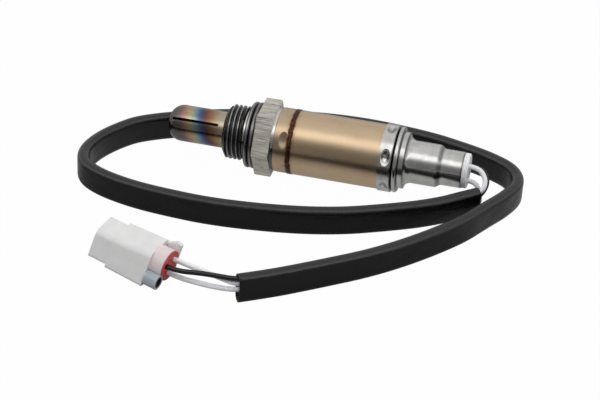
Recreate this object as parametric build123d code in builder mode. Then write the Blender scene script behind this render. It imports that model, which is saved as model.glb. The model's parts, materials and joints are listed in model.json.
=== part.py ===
from build123d import *
import math
import os

# Heated oxygen sensor for an exhaust pipe: a slotted probe on a threaded hexagon body, a long
# heat shield, a stepped rear cap, and a three-wire lead in a flat sleeve that ends in a plug.
#
# Frame, in millimetres: the sensor lies along X with its probe towards -X and its lead towards +X.
# The origin is on the surface that it lies on, under the middle of the sensor's own length.
# Distances along the sensor are stations, counted from the front face of the hexagon.

# --- driving dimensions -------------------------------------------------------------------------

# Overall
tip_reach = 30.7                 # probe tip, ahead of the hexagon
tail_reach = 69.5                # grommet face, behind the hexagon
fit_gap = 0.05                   # slip fit between parts that slide together

# Hexagon body
thread_diameter = 18.0           # M18 x 1.5, drawn at its crests
hex_across_flats = 22.0
hex_width = 5.6
hex_chamfer = 0.25
shell_front = -11.1
thread_lead_in = 1.2
thread_end = -4.2
nose_diameter = 14.6
relief_diameter = 16.3
waist_diameter = 20.6
boss_end = 13.0
seat_station = -7.4
seat_bore_diameter = 9.8
front_lip = 0.6                  # crimped over the tube's flange
rim_thickness = 0.7
rim_bore_diameter = 11.6

# Crush gasket
gasket_inset = 0.1               # inside the flats of the hexagon
gasket_bore_diameter = 16.8
gasket_width = 3.3
gasket_valley_depth = 0.7
gasket_front_roll = 1.5          # width of the front one of its two rolls

# Slotted protection tube
tube_diameter = 12.0
tube_wall = 0.5
tube_tip_radius = 4.6
tube_flange_diameter = 13.8
slit_length = 15.8
slit_width = 0.9
slit_front = -28.9
slit_count = 3
slit_first_angle = 42.0          # of the first slit, above the horizontal on the -Y side

# Ceramic thimble and its packing
thimble_tip = -27.4
thimble_tip_diameter = 6.4
thimble_shoulder_diameter = 8.8
thimble_collar_diameter = 12.8
thimble_play = 0.2               # between its collar and the bore of the body
thimble_collar_length = 3.5
thimble_neck_diameter = 10.0
thimble_rear = 4.0
thimble_bore_diameter = 4.0
thimble_mouth_diameter = 5.2
thimble_wall = 1.9               # at its tip, below the heater
bush_bore_diameter = 8.0
washer_thickness = 0.5
packing_length = 5.0
crush_ring_length = 1.5
crush_ring_bore = 11.2

# Heater, signal contact and insulator
heater_diameter = 2.8
heater_front = -24.5
heater_rear = 33.0
heater_edge = 0.3
clip_wall = 0.2
clip_front = -1.0
clip_rear = 14.2
clip_slot = 0.8
insulator_play = 0.3             # inside the sheet of its spring ring
insulator_front = 14.7
insulator_rear = 49.0
lead_count = 3
lead_circle_radius = 3.1
lead_hole_diameter = 2.5
spring_ring_front = 22.0
spring_ring_length = 15.0
spring_ring_waves = 12
spring_ring_sheet = 0.3
spring_ring_play = 0.1           # between its ridges and the shield
spring_ring_ridge = 1.15
disc_spring_sheet = 0.5
disc_spring_play = 0.25          # between its edge and the shield
disc_spring_bore = 12.4

# Heat shield sleeve
shield_diameter = 21.2
shield_wall = 0.45
shield_front = 6.5
shield_rear = 42.6
shield_edge_radius = 0.4
weld_station = 11.8
weld_width = 1.4
weld_height = 0.12
shield_stake_station = 9.8

# Rear cap
cap_wall = 0.35
cap_front = 41.3
cap_shoulder = 45.3
cap_shoulder_edge = 0.25
cap_stake_station = 43.4
bead_front = 45.8
bead_rear = 47.3
bead_inset = 0.2                 # below the skirt of the cap
bead_root_inset = 0.9
cap_ring_front = 47.6
cap_ring_rear = 49.1
cap_ring_radius = 9.2
flare_radius = 2.6
neck_front = 51.2
neck_radius = 6.95
neck_rear = 59.5
throat_front = 60.9
throat_blend = 1.6               # radius of the two bends between neck and throat
throat_radius = 5.9
cap_rear = 67.7

# Stakes pressed into the shield and the cap
stake_count = 6
stake_first_angle = 30.0
stake_punch_radius = 3.2         # of the rod-shaped punch, laid across the sheet
stake_punch_length = 8.0
stake_depth = 0.4
stake_groove_width = 3.8

# Grommet and terminals
grommet_front = 62.6
grommet_collar_diameter = 11.4
grommet_edge = 0.6
terminal_blade_width = 2.0
terminal_blade_thickness = 0.4
terminal_front = 34.0
terminal_barrel_front = 49.4
terminal_barrel_base = 0.6
terminal_barrel_length = 4.0
terminal_barrel_wall = 0.3

# Lead
wire_diameter = 1.6
sleeve_width = 9.6               # the sleeve stands on its edge
sleeve_thickness = 4.1
sleeve_wall = 0.35
sleeve_edge_radius = 1.2
bend_share = 0.45                # share of the shorter run that a bend may use

# Plug
plug_point = (-27.28, -74.29, 6.3)  # middle of its rear seal, in the part's frame
plug_heading = -14.5
plug_nose_lift = 8.0
plug_roll = 4.0
plug_nose = -24.0                # stations along the plug, from its rear seal
plug_step = -17.6
plug_body_rear = -4.6
plug_barrel_rear = -0.4
plug_barrel_radius = 4.95
plug_pocket_radius = 4.3
plug_flange_radius = 4.8         # of the seal, over the end of the barrel
plug_flange_thickness = 0.4
plug_port = 1.5                  # side of a square terminal passage
plug_wire_places = ((1.6, 1.7), (-0.6, -2.1), (-2.5, 1.1))  # heater, heater, signal
plug_spare_place = (-5.25, -3.45)
plug_spare_rear = -0.2
plug_spare_radius = 2.45
plug_spare_bore = 1.75
plug_spare_depth = 4.3
plug_hood_place = 5.2            # middle of the plate beside the barrel
plug_hood_wall = 1.2
plug_ramp_place = 1.8            # across the plug
plug_ramp_width = 1.8
plug_seal_ribs = 3
plug_seal_rib = 0.3              # rib height
plug_seal_rib_width = 1.0
plug_stopper_bore = 1.3
plug_stopper_floor = 1.5
plug_terminal_front = -21.5
plug_terminal_socket = 1.0
plug_terminal_socket_depth = 6.0
plug_crimp_radius = 1.1
plug_crimp_length = 3.4
plug_crimp_depth = 4.3
swap_side_step = 0.84            # in the sleeve, where two wires change places

# Outlines across the plug, (towards the far side, up), with the radius of each corner.
nose_corners = ((-7.6, -5.0), (-4.6, 3.2), (3.8, 4.6), (3.8, -5.0))
nose_radii = (0.8, 2.4, 1.0, 0.8)
body_front_corners = ((-8.1, -5.7), (-4.8, 3.5), (4.4, 5.0), (4.4, -6.2))
body_rear_corners = ((-8.3, -5.9), (-4.4, 4.1), (4.8, 5.3), (4.8, -6.5))
body_radii = (0.8, 2.6, 0.7, 1.0)
# Outlines along the plug, (station, up).
hood_corners = ((-5.2, -0.5), (-5.2, 4.2), (-4.0, 4.1), (-1.5, 5.5), (0.3, 5.0), (-0.45, -0.4))
ramp_corners = ((-23.4, -4.6), (-22.2, -9.3), (-20.8, -9.1), (-15.0, -5.8), (-15.0, -4.6))

# --- frame and helpers ---------------------------------------------------------------------------

hex_front_x = (tip_reach - tail_reach) / 2
axis_height = hex_across_flats / 2
thread_radius = thread_diameter / 2
wire_radius = wire_diameter / 2
bore_radius = thimble_collar_diameter / 2 + thimble_play
shield_radius = shield_diameter / 2
shield_bore_radius = shield_radius - shield_wall
boss_radius = shield_bore_radius - fit_gap
stake_groove_radius = boss_radius - stake_depth - fit_gap
spring_ring_core = shield_bore_radius - spring_ring_play - spring_ring_ridge
insulator_radius = spring_ring_core - spring_ring_sheet - insulator_play
disc_spring_radius = shield_bore_radius - disc_spring_play
cap_radius = shield_radius + fit_gap + cap_wall

sensor_axis = Axis((hex_front_x, 0, axis_height), (1, 0, 0))
# Half-section plane: its x is the station and its y is the radius.
meridian = Plane(origin=(hex_front_x, 0, axis_height), x_dir=(1, 0, 0), z_dir=(0, -1, 0))


def cross_plane(station):
    """The plane across the sensor at a station: its x is +Y and its y is +Z."""
    return Plane(origin=(hex_front_x + station, 0, axis_height), x_dir=(0, 1, 0), z_dir=(1, 0, 0))


def radial_plane(station, angle, radius=0.0):
    """A plane that faces outwards from the axis; the angle is from the -Y side up."""
    outward = Vector(0, -math.cos(math.radians(angle)), math.sin(math.radians(angle)))
    centre = Vector(hex_front_x + station, 0, axis_height)
    return Plane(origin=centre + outward * radius, x_dir=(1, 0, 0), z_dir=outward)


def spin(*outline, mode=Mode.ADD):
    """Turn a closed outline of (station, radius) points about the sensor's axis."""
    with BuildSketch(meridian) as section:
        with BuildLine():
            Polyline(*outline, close=True)
        make_face()
    revolve(section.sketch, axis=sensor_axis, mode=mode)


def dome(tip, radius, corner, mode=Mode.ADD, rear=0.0):
    """A round-nosed rod on the axis from its tip back to a rear station."""
    with BuildSketch(meridian) as section:
        with BuildLine():
            Line((tip, 0), (tip, radius - corner))
            CenterArc((tip + corner, radius - corner), corner, 90, 90)
            Polyline((tip + corner, radius), (rear, radius), (rear, 0), (tip, 0))
        make_face()
    revolve(section.sketch, axis=sensor_axis, mode=mode)


os.makedirs("parts", exist_ok=True)

# --- protection tube ----------------------------------------------------------------------------

tube_radius = tube_diameter / 2
tube_flange_front = shell_front + front_lip
tube_rear = tube_flange_front + tube_wall
with BuildPart() as protection_tube:
    dome(-tip_reach, tube_radius, tube_tip_radius, rear=tube_rear)
    spin(
        (tube_flange_front, 0),
        (tube_flange_front, tube_flange_diameter / 2),
        (tube_rear, tube_flange_diameter / 2),
        (tube_rear, 0),
    )
    dome(
        tube_wall - tip_reach,
        tube_radius - tube_wall,
        tube_tip_radius - tube_wall,
        mode=Mode.SUBTRACT,
        rear=tube_rear,
    )
    for slit in range(slit_count):
        slit_angle = slit_first_angle + slit * 360 / slit_count
        with BuildSketch(radial_plane(slit_front + slit_length / 2, slit_angle)):
            SlotOverall(slit_length, slit_width)
        extrude(amount=tube_radius, mode=Mode.SUBTRACT)
protection_tube.part.label = "protection_tube"

# --- threaded hexagon body ----------------------------------------------------------------------

with BuildPart() as sensor_shell:
    # The hexagon lies on one of its flats.
    with BuildSketch(cross_plane(0)):
        RegularPolygon(hex_across_flats / 2, 6, major_radius=False)
    extrude(amount=hex_width)
    hex_ends = sensor_shell.faces().filter_by(Axis.X)
    chamfer(hex_ends.edges(), hex_chamfer)
    spin(
        (shell_front, 0),
        (shell_front, nose_diameter / 2),
        (shell_front + thread_lead_in, thread_radius),
        (thread_end, thread_radius),
        (thread_end + thread_radius - relief_diameter / 2, relief_diameter / 2),
        (0, relief_diameter / 2),
        (0, 0),
    )
    spin(
        (hex_width, 0),
        (hex_width, waist_diameter / 2),
        (shield_front, waist_diameter / 2),
        (shield_front, boss_radius),
        (boss_end, boss_radius),
        (boss_end, 0),
    )
    # Groove that takes the stakes of the shield.
    with BuildSketch(meridian) as stake_groove:
        with Locations((shield_stake_station, boss_radius)):
            Rectangle(stake_groove_width, 2 * (boss_radius - stake_groove_radius))
    revolve(stake_groove.sketch, axis=sensor_axis, mode=Mode.SUBTRACT)
    # Pocket for the tube's flange, seat for the thimble, bore for the packing, crimped rim.
    spin(
        (shell_front, 0),
        (shell_front, tube_radius + fit_gap),
        (tube_flange_front, tube_radius + fit_gap),
        (tube_flange_front, tube_flange_diameter / 2 + fit_gap),
        (tube_rear, tube_flange_diameter / 2 + fit_gap),
        (tube_rear, seat_bore_diameter / 2),
        (seat_station, seat_bore_diameter / 2),
        (seat_station, bore_radius),
        (boss_end - rim_thickness, bore_radius),
        (boss_end - rim_thickness, rim_bore_diameter / 2),
        (boss_end, rim_bore_diameter / 2),
        (boss_end, 0),
        mode=Mode.SUBTRACT,
    )
sensor_shell.part.label = "sensor_shell"

# --- crush gasket -------------------------------------------------------------------------------

gasket_radius = hex_across_flats / 2 - gasket_inset
gasket_bore = gasket_bore_diameter / 2
gasket_valley = gasket_radius - gasket_valley_depth
gasket_split = gasket_front_roll - gasket_width
with BuildPart() as gasket_ring:
    with BuildSketch(meridian) as gasket_section:
        with BuildLine():
            Polyline((-gasket_width, gasket_valley), (-gasket_width, gasket_bore), (0, gasket_bore))
            Line((0, gasket_bore), (0, gasket_valley))
            ThreePointArc(
                (0, gasket_valley),
                (gasket_split / 2, gasket_radius),
                (gasket_split, gasket_valley),
            )
            ThreePointArc(
                (gasket_split, gasket_valley),
                (-gasket_width + gasket_front_roll / 2, gasket_radius),
                (-gasket_width, gasket_valley),
            )
        make_face()
    revolve(gasket_section.sketch, axis=sensor_axis)
gasket_ring.part.label = "gasket_ring"

# --- ceramic thimble, its washer and packing ----------------------------------------------------

collar_front = seat_station + washer_thickness
packing_front = collar_front + thimble_collar_length
bush_front = packing_front + packing_length
crush_ring_front = boss_end - rim_thickness - crush_ring_length
packed_radius = bore_radius - fit_gap
thimble_neck = thimble_neck_diameter / 2

with BuildPart() as seal_washer:
    spin(
        (seat_station, seat_bore_diameter / 2),
        (seat_station, packed_radius),
        (collar_front, packed_radius),
        (collar_front, seat_bore_diameter / 2),
    )
seal_washer.part.label = "seal_washer"

with BuildPart() as sensing_thimble:
    tip_radius = thimble_tip_diameter / 2
    with BuildSketch(meridian) as thimble_section:
        with BuildLine():
            CenterArc((thimble_tip + tip_radius, 0), tip_radius, 90, 90)
            Polyline(
                (thimble_tip + tip_radius, tip_radius),
                (tube_rear, thimble_shoulder_diameter / 2),
                (collar_front, thimble_shoulder_diameter / 2),
                (collar_front, thimble_collar_diameter / 2),
                (packing_front, thimble_collar_diameter / 2),
                (packing_front, thimble_neck),
                (thimble_rear, thimble_neck),
                (thimble_rear, 0),
                (thimble_tip, 0),
            )
        make_face()
    revolve(thimble_section.sketch, axis=sensor_axis)
    thimble_bore = thimble_bore_diameter / 2
    dome(
        thimble_tip + thimble_wall,
        thimble_bore,
        thimble_bore - fit_gap,
        mode=Mode.SUBTRACT,
        rear=thimble_rear,
    )
    spin(
        (clip_front - clip_wall, 0),
        (clip_front - clip_wall, thimble_mouth_diameter / 2),
        (thimble_rear, thimble_mouth_diameter / 2),
        (thimble_rear, 0),
        mode=Mode.SUBTRACT,
    )
sensing_thimble.part.label = "sensing_thimble"

with BuildPart() as powder_packing:
    spin(
        (packing_front, thimble_neck + fit_gap),
        (packing_front, packed_radius),
        (bush_front, packed_radius),
        (bush_front, thimble_neck + fit_gap),
    )
powder_packing.part.label = "powder_packing"

with BuildPart() as support_bush:
    spin(
        (bush_front, thimble_neck + fit_gap),
        (bush_front, packed_radius),
        (crush_ring_front, packed_radius),
        (crush_ring_front, bush_bore_diameter / 2),
        (thimble_rear, bush_bore_diameter / 2),
        (thimble_rear, thimble_neck + fit_gap),
    )
support_bush.part.label = "support_bush"

with BuildPart() as crush_ring:
    spin(
        (crush_ring_front, crush_ring_bore / 2),
        (crush_ring_front, packed_radius),
        (crush_ring_front + crush_ring_length, packed_radius),
        (crush_ring_front + crush_ring_length, crush_ring_bore / 2),
    )
crush_ring.part.label = "crush_ring"

# --- contact clip and heater --------------------------------------------------------------------

clip_radius = thimble_mouth_diameter / 2 - fit_gap
with BuildPart() as contact_clip:
    # A rolled tube that is open along one side.
    with BuildSketch(cross_plane(clip_front)):
        Circle(clip_radius)
        Circle(clip_radius - clip_wall, mode=Mode.SUBTRACT)
        with Locations((clip_radius, 0)):
            Rectangle(clip_radius, clip_slot, mode=Mode.SUBTRACT)
    extrude(amount=clip_rear - clip_front)
contact_clip.part.label = "contact_clip"

with BuildPart() as heater_rod:
    dome(heater_front, heater_diameter / 2, heater_edge, rear=heater_rear)
heater_rod.part.label = "heater_rod"

# --- insulator and its springs ------------------------------------------------------------------

with BuildPart() as disc_spring:
    # A coned washer between the rim of the body and the insulator.
    spin(
        (boss_end, disc_spring_radius),
        (boss_end + disc_spring_sheet, disc_spring_radius),
        (insulator_front, disc_spring_bore / 2),
        (insulator_front - disc_spring_sheet, disc_spring_bore / 2),
    )
disc_spring.part.label = "disc_spring"

with BuildPart() as ceramic_insulator:
    with BuildSketch(cross_plane(insulator_front)):
        Circle(insulator_radius)
        Circle(heater_diameter / 2 + fit_gap, mode=Mode.SUBTRACT)
        with PolarLocations(lead_circle_radius, lead_count):
            Circle(lead_hole_diameter / 2, mode=Mode.SUBTRACT)
    extrude(amount=insulator_rear - insulator_front)
ceramic_insulator.part.label = "ceramic_insulator"

with BuildPart() as spring_sleeve:
    # A sheet ring whose ridges centre the insulator in the shield.
    with BuildSketch(cross_plane(spring_ring_front)):
        Circle(spring_ring_core)
        with PolarLocations(spring_ring_core, spring_ring_waves):
            Circle(spring_ring_ridge)
        offset(amount=-spring_ring_sheet, mode=Mode.SUBTRACT)
    extrude(amount=spring_ring_length)
spring_sleeve.part.label = "spring_sleeve"

# --- stakes: dents pressed inwards around a sheet -----------------------------------------------


def stake_dents(station, surface_radius, punch_radius):
    """A ring of rod-shaped punches that press into a surface by the depth of a stake."""
    centre_radius = surface_radius - stake_depth + stake_punch_radius
    for stake in range(stake_count):
        place = radial_plane(station, stake_first_angle + stake * 360 / stake_count, centre_radius)
        tangent = Plane(origin=place.origin, x_dir=place.z_dir, z_dir=place.y_dir)
        with BuildSketch(tangent) as punch:
            Circle(punch_radius)
        extrude(punch.sketch, amount=stake_punch_length / 2, both=True, mode=Mode.SUBTRACT)


# --- heat shield --------------------------------------------------------------------------------

with BuildPart() as shield_cavity:
    spin(
        (shield_front, 0),
        (shield_front, shield_bore_radius),
        (shield_rear, shield_bore_radius),
        (shield_rear, 0),
    )
    stake_dents(shield_stake_station, shield_radius, stake_punch_radius + shield_wall)

with BuildPart() as protective_sleeve:
    with BuildSketch(meridian) as shield_section:
        with BuildLine():
            FilletPolyline(
                (shield_front, 0),
                (shield_front, shield_radius),
                (shield_rear, shield_radius),
                (shield_rear, 0),
                radius=(shield_edge_radius, 0),
            )
            Line((shield_rear, 0), (shield_front, 0))
        make_face()
    revolve(shield_section.sketch, axis=sensor_axis)
    # The weld that joins it to the body stands slightly proud.
    spin(
        (weld_station - weld_width / 2, 0),
        (weld_station - weld_width / 2, shield_radius + weld_height),
        (weld_station + weld_width / 2, shield_radius + weld_height),
        (weld_station + weld_width / 2, 0),
    )
    add(shield_cavity.part, mode=Mode.SUBTRACT)
    stake_dents(shield_stake_station, shield_radius, stake_punch_radius)
    # Its rear edge gives way under the stakes of the cap.
    stake_dents(cap_stake_station, cap_radius, stake_punch_radius + cap_wall + fit_gap)
protective_sleeve.part.label = "protective_sleeve"

# --- rear cap: the shape that takes the most care -----------------------------------------------

def cap_face():
    """Half outline of the pressed cap: skirt, rolled bead, collar, flare, neck and throat."""
    bead_root_radius = cap_radius - bead_root_inset
    with BuildLine() as outline:
        Line((cap_front, 0), (cap_front, cap_radius))
        FilletPolyline(
            (cap_front, cap_radius),
            (cap_shoulder, cap_radius),
            (bead_front, bead_root_radius),
            radius=cap_shoulder_edge,
        )
        ThreePointArc(
            (bead_front, bead_root_radius),
            ((bead_front + bead_rear) / 2, cap_radius - bead_inset),
            (bead_rear, bead_root_radius),
        )
        Polyline(
            (bead_rear, bead_root_radius),
            (cap_ring_front, cap_ring_radius),
            (cap_ring_rear, cap_ring_radius),
        )
        RadiusArc((cap_ring_rear, cap_ring_radius), (neck_front, neck_radius), -flare_radius)
        FilletPolyline(
            (neck_front, neck_radius),
            (neck_rear, neck_radius),
            (throat_front, throat_radius),
            (cap_rear, throat_radius),
            radius=throat_blend,
        )
        Polyline((cap_rear, throat_radius), (cap_rear, 0), (cap_front, 0))
    return make_face(outline.edges())


with BuildPart() as cap_cavity:
    with BuildSketch(meridian) as cap_hollow:
        cap_face()
        offset(amount=-cap_wall, mode=Mode.REPLACE)
        # Open the offset outline down to the axis and out through both ends.
        with Locations((cap_front, 0)):
            Rectangle(cap_rear - cap_front, throat_radius - cap_wall, align=Align.MIN)
            Rectangle(2 * cap_wall, cap_radius - cap_wall, align=Align.MIN)
    revolve(cap_hollow.sketch, axis=sensor_axis)
    stake_dents(cap_stake_station, cap_radius, stake_punch_radius + cap_wall)

with BuildPart() as rear_cap:
    with BuildSketch(meridian) as cap_section:
        cap_face()
    revolve(cap_section.sketch, axis=sensor_axis)
    add(cap_cavity.part, mode=Mode.SUBTRACT)
    stake_dents(cap_stake_station, cap_radius, stake_punch_radius)
rear_cap.part.label = "rear_cap"

# --- terminals in the insulator -----------------------------------------------------------------

wire_start = terminal_barrel_front + terminal_barrel_base
barrel_radius = wire_radius + fit_gap + terminal_barrel_wall


def lead_plane(station, lead):
    """The plane across one lead's own line, at a station along the sensor."""
    angle = math.radians(lead * 360 / lead_count)
    across = cross_plane(station)
    centre = across.from_local_coords(
        Vector(lead_circle_radius * math.cos(angle), lead_circle_radius * math.sin(angle), 0)
    )
    return Plane(origin=centre, x_dir=across.x_dir, z_dir=across.z_dir)


for lead in range(lead_count):
    with BuildPart() as crimp_terminal:
        with BuildSketch(lead_plane(terminal_front, lead)):
            Rectangle(terminal_blade_width, terminal_blade_thickness)
        extrude(amount=wire_start - terminal_front)
        with BuildSketch(lead_plane(terminal_barrel_front, lead)):
            Circle(barrel_radius)
        extrude(amount=terminal_barrel_length)
        with BuildSketch(lead_plane(wire_start, lead)):
            Circle(wire_radius + fit_gap)
        extrude(amount=terminal_barrel_length, mode=Mode.SUBTRACT)
    crimp_terminal.part.label = f"crimp_terminal_{lead + 1}"
    export_step(crimp_terminal.part, f"parts/crimp_terminal_{lead + 1}.step")

# --- grommet ------------------------------------------------------------------------------------

with BuildPart() as grommet:
    with BuildSketch(meridian) as grommet_section:
        with BuildLine():
            FilletPolyline(
                (grommet_front, 0),
                (grommet_front, throat_radius - cap_wall - fit_gap),
                (cap_rear, throat_radius - cap_wall - fit_gap),
                (cap_rear, grommet_collar_diameter / 2),
                (tail_reach, grommet_collar_diameter / 2),
                (tail_reach, 0),
                radius=(0, 0, 0, grommet_edge),
            )
            Line((tail_reach, 0), (grommet_front, 0))
        make_face()
    revolve(grommet_section.sketch, axis=sensor_axis)
    with BuildSketch(cross_plane(grommet_front)):
        with PolarLocations(lead_circle_radius, lead_count):
            Circle(wire_radius + fit_gap)
    extrude(amount=tail_reach - grommet_front, mode=Mode.SUBTRACT)
grommet.part.label = "grommet"

# --- lead: the route of the flat sleeve ---------------------------------------------------------

# Middle of the sleeve, seen from above, from its end by the sensor to its end by the plug.
sleeve_route = (
    (54.5, -7.1),
    (50.0, -11.0),
    (43.6, -16.9),
    (33.2, -23.5),
    (10.3, -34.6),
    (-21.5, -39.8),
    (-44.4, -38.5),
    (-55.5, -36.4),
    (-64.3, -33.3),
    (-70.3, -29.0),
    (-72.7, -21.6),
    (-70.8, -12.9),
    (-66.7, -5.0),
    (-60.5, 3.0),
    (-39.6, 13.9),
    (-15.6, 21.4),
    (8.7, 24.9),
    (32.6, 22.6),
    (44.2, 19.5),
    (55.1, 15.8),
    (63.2, 10.9),
    (66.3, 3.3),
    (63.5, -5.6),
    (58.4, -14.5),
    (51.6, -27.4),
    (33.2, -49.0),
    (12.3, -65.1),
    (2.3, -72.3),
    (-5.6, -77.1),
)


def tube_path(label, points):
    """Straight runs joined by tangent arcs, as roomy as the shorter run at each bend allows."""
    corners = [Vector(*point) for point in points]
    radii = []
    for before, corner, after in zip(corners, corners[1:], corners[2:]):
        turn = math.radians((corner - before).get_angle(after - corner))
        shorter = min((corner - before).length, (after - corner).length)
        radii.append(bend_share * shorter / math.tan(turn / 2))
    path = FilletPolyline(*corners, radius=radii)
    print(label, "length", round(path.length, 1), "bend radii", [round(r, 1) for r in radii])


with BuildPart() as lead_sleeve:
    with BuildLine() as sleeve_line:
        tube_path("lead_sleeve", [(x, y, sleeve_width / 2) for x, y in sleeve_route])
    with BuildSketch(
        Plane(origin=sleeve_line.line @ 0, x_dir=(0, 0, 1), z_dir=sleeve_line.line % 0)
    ) as sleeve_section:
        RectangleRounded(sleeve_width, sleeve_thickness, sleeve_edge_radius)
        RectangleRounded(
            sleeve_width - 2 * sleeve_wall,
            sleeve_thickness - 2 * sleeve_wall,
            sleeve_edge_radius - sleeve_wall,
            mode=Mode.SUBTRACT,
        )
    sweep(path=sleeve_line.line)
lead_sleeve.part.label = "lead_sleeve"

# --- plug ---------------------------------------------------------------------------------------

heading = math.radians(plug_heading)
nose_lift = math.radians(plug_nose_lift)
plug_along = Vector(
    math.cos(heading) * math.cos(nose_lift),
    math.sin(heading) * math.cos(nose_lift),
    -math.sin(nose_lift),
)
level_side = Vector(-math.sin(heading), math.cos(heading), 0)
plug_side = level_side.rotate(Axis((0, 0, 0), tuple(plug_along)), -plug_roll)


def plug_plane(station):
    """The plane across the plug at a station: x is towards its far side and y is up."""
    return Plane(
        origin=Vector(*plug_point) + plug_along * station, x_dir=plug_side, z_dir=plug_along
    )


def plug_spot(station, place):
    """A point of the plug, from a station and a place across it."""
    return plug_plane(station).from_local_coords(Vector(place[0], place[1], 0))


def plug_block(front, front_corners, rear, rear_corners, radii):
    """A block along the plug between two outlines that share their corner radii."""
    ends = []
    for station, corners in ((front, front_corners), (rear, rear_corners)):
        with BuildSketch(plug_plane(station)) as outline:
            with BuildLine():
                FilletPolyline(*corners, radius=radii, close=True)
            make_face()
        ends.append(outline.sketch)
    loft(ends, ruled=True)


def plug_plate(corners, place, thickness):
    """A plate along the plug from its side outline, centred at a place across the plug."""
    middle = plug_plane(0).from_local_coords(Vector(place, 0, 0))
    with BuildSketch(Plane(origin=middle, x_dir=plug_along, z_dir=-plug_side)) as outline:
        with BuildLine():
            Polyline(*corners, close=True)
        make_face()
    extrude(outline.sketch, amount=thickness / 2, both=True)


crimp_floor = plug_body_rear - plug_crimp_depth
with BuildPart() as plug_housing:
    plug_block(plug_nose, nose_corners, plug_step, nose_corners, nose_radii)
    plug_block(plug_step, body_front_corners, plug_body_rear, body_rear_corners, body_radii)
    with BuildSketch(plug_plane(plug_body_rear)):
        Circle(plug_barrel_radius)
    extrude(amount=plug_barrel_rear - plug_body_rear)
    with BuildSketch(plug_plane(plug_body_rear)):
        with Locations(plug_spare_place):
            Circle(plug_spare_radius)
    extrude(amount=plug_spare_rear - plug_body_rear)
    # Plate beside the barrel, which shields the latch.
    plug_plate(hood_corners, plug_hood_place, plug_hood_wall)
    # Ramp under the nose, which the mating half latches on.
    plug_plate(ramp_corners, plug_ramp_place, plug_ramp_width)
    # Pocket for the seal, passages for the crimps and the terminals, and the unused way.
    with BuildSketch(plug_plane(plug_body_rear)):
        Circle(plug_pocket_radius)
    extrude(amount=plug_barrel_rear - plug_body_rear, mode=Mode.SUBTRACT)
    with BuildSketch(plug_plane(crimp_floor)):
        with Locations(*plug_wire_places):
            Circle(plug_crimp_radius + fit_gap)
    extrude(amount=plug_body_rear - crimp_floor, mode=Mode.SUBTRACT)
    with BuildSketch(plug_plane(plug_nose)):
        with Locations(*plug_wire_places):
            Rectangle(plug_port, plug_port)
    extrude(amount=crimp_floor - plug_nose, mode=Mode.SUBTRACT)
    with BuildSketch(plug_plane(plug_spare_rear)):
        with Locations(plug_spare_place):
            Circle(plug_spare_bore)
    extrude(amount=-plug_spare_depth, mode=Mode.SUBTRACT)
plug_housing.part.label = "plug_housing"

seal_length = plug_barrel_rear - plug_body_rear
seal_face = plug_barrel_rear + plug_flange_thickness
with BuildPart() as wire_seal:
    # Ribbed rubber plug that fills the pocket around the wires, with a flange over its rim.
    with BuildSketch(plug_plane(plug_body_rear)):
        Circle(plug_pocket_radius - fit_gap - plug_seal_rib)
    extrude(amount=seal_length)
    for rib in range(plug_seal_ribs):
        rib_start = plug_body_rear + rib * (seal_length - plug_seal_rib_width) / (plug_seal_ribs - 1)
        with BuildSketch(plug_plane(rib_start)):
            Circle(plug_pocket_radius - fit_gap)
        extrude(amount=plug_seal_rib_width)
    with BuildSketch(plug_plane(plug_barrel_rear)):
        Circle(plug_flange_radius)
        with Locations(plug_spare_place):
            Circle(plug_spare_radius + fit_gap, mode=Mode.SUBTRACT)
        with Locations((plug_hood_place, 0)):
            Rectangle(
                plug_hood_wall + 2 * fit_gap, 2 * plug_barrel_radius, mode=Mode.SUBTRACT
            )
    extrude(amount=plug_flange_thickness)
    with BuildSketch(plug_plane(plug_body_rear)):
        with Locations(*plug_wire_places):
            Circle(wire_radius + fit_gap)
    extrude(amount=seal_length + plug_flange_thickness, mode=Mode.SUBTRACT)
wire_seal.part.label = "wire_seal"

with BuildPart() as blanking_plug:
    # Hollow rubber stopper in the unused way.
    with BuildSketch(plug_plane(plug_spare_rear)):
        with Locations(plug_spare_place):
            Circle(plug_spare_bore - fit_gap)
    extrude(amount=-plug_spare_depth)
    with BuildSketch(plug_plane(plug_spare_rear)):
        with Locations(plug_spare_place):
            Circle(plug_stopper_bore)
    extrude(amount=plug_stopper_floor - plug_spare_depth, mode=Mode.SUBTRACT)
blanking_plug.part.label = "blanking_plug"

wire_end = crimp_floor + terminal_barrel_base
for number, place in enumerate(plug_wire_places, start=1):
    with BuildPart() as plug_terminal:
        with BuildSketch(plug_plane(plug_terminal_front)):
            with Locations(place):
                Rectangle(plug_port - 2 * fit_gap, plug_port - 2 * fit_gap)
        extrude(amount=crimp_floor - plug_terminal_front)
        with BuildSketch(plug_plane(plug_terminal_front)):
            with Locations(place):
                Rectangle(plug_terminal_socket, plug_terminal_socket)
        extrude(amount=plug_terminal_socket_depth, mode=Mode.SUBTRACT)
        with BuildSketch(plug_plane(crimp_floor)):
            with Locations(place):
                Circle(plug_crimp_radius)
        extrude(amount=plug_crimp_length)
        with BuildSketch(plug_plane(wire_end)):
            with Locations(place):
                Circle(wire_radius + fit_gap)
        extrude(amount=plug_crimp_length, mode=Mode.SUBTRACT)
    plug_terminal.part.label = f"plug_terminal_{number}"
    export_step(plug_terminal.part, f"parts/plug_terminal_{number}.step")

# --- wires --------------------------------------------------------------------------------------

# Heights of the three wires inside the sleeve; the upper two change places over some of its bends.
lane_bottom = 4.1
lane_middle = 6.0
lane_top = 7.9
swap_bends = (15, 16, 17)


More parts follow.
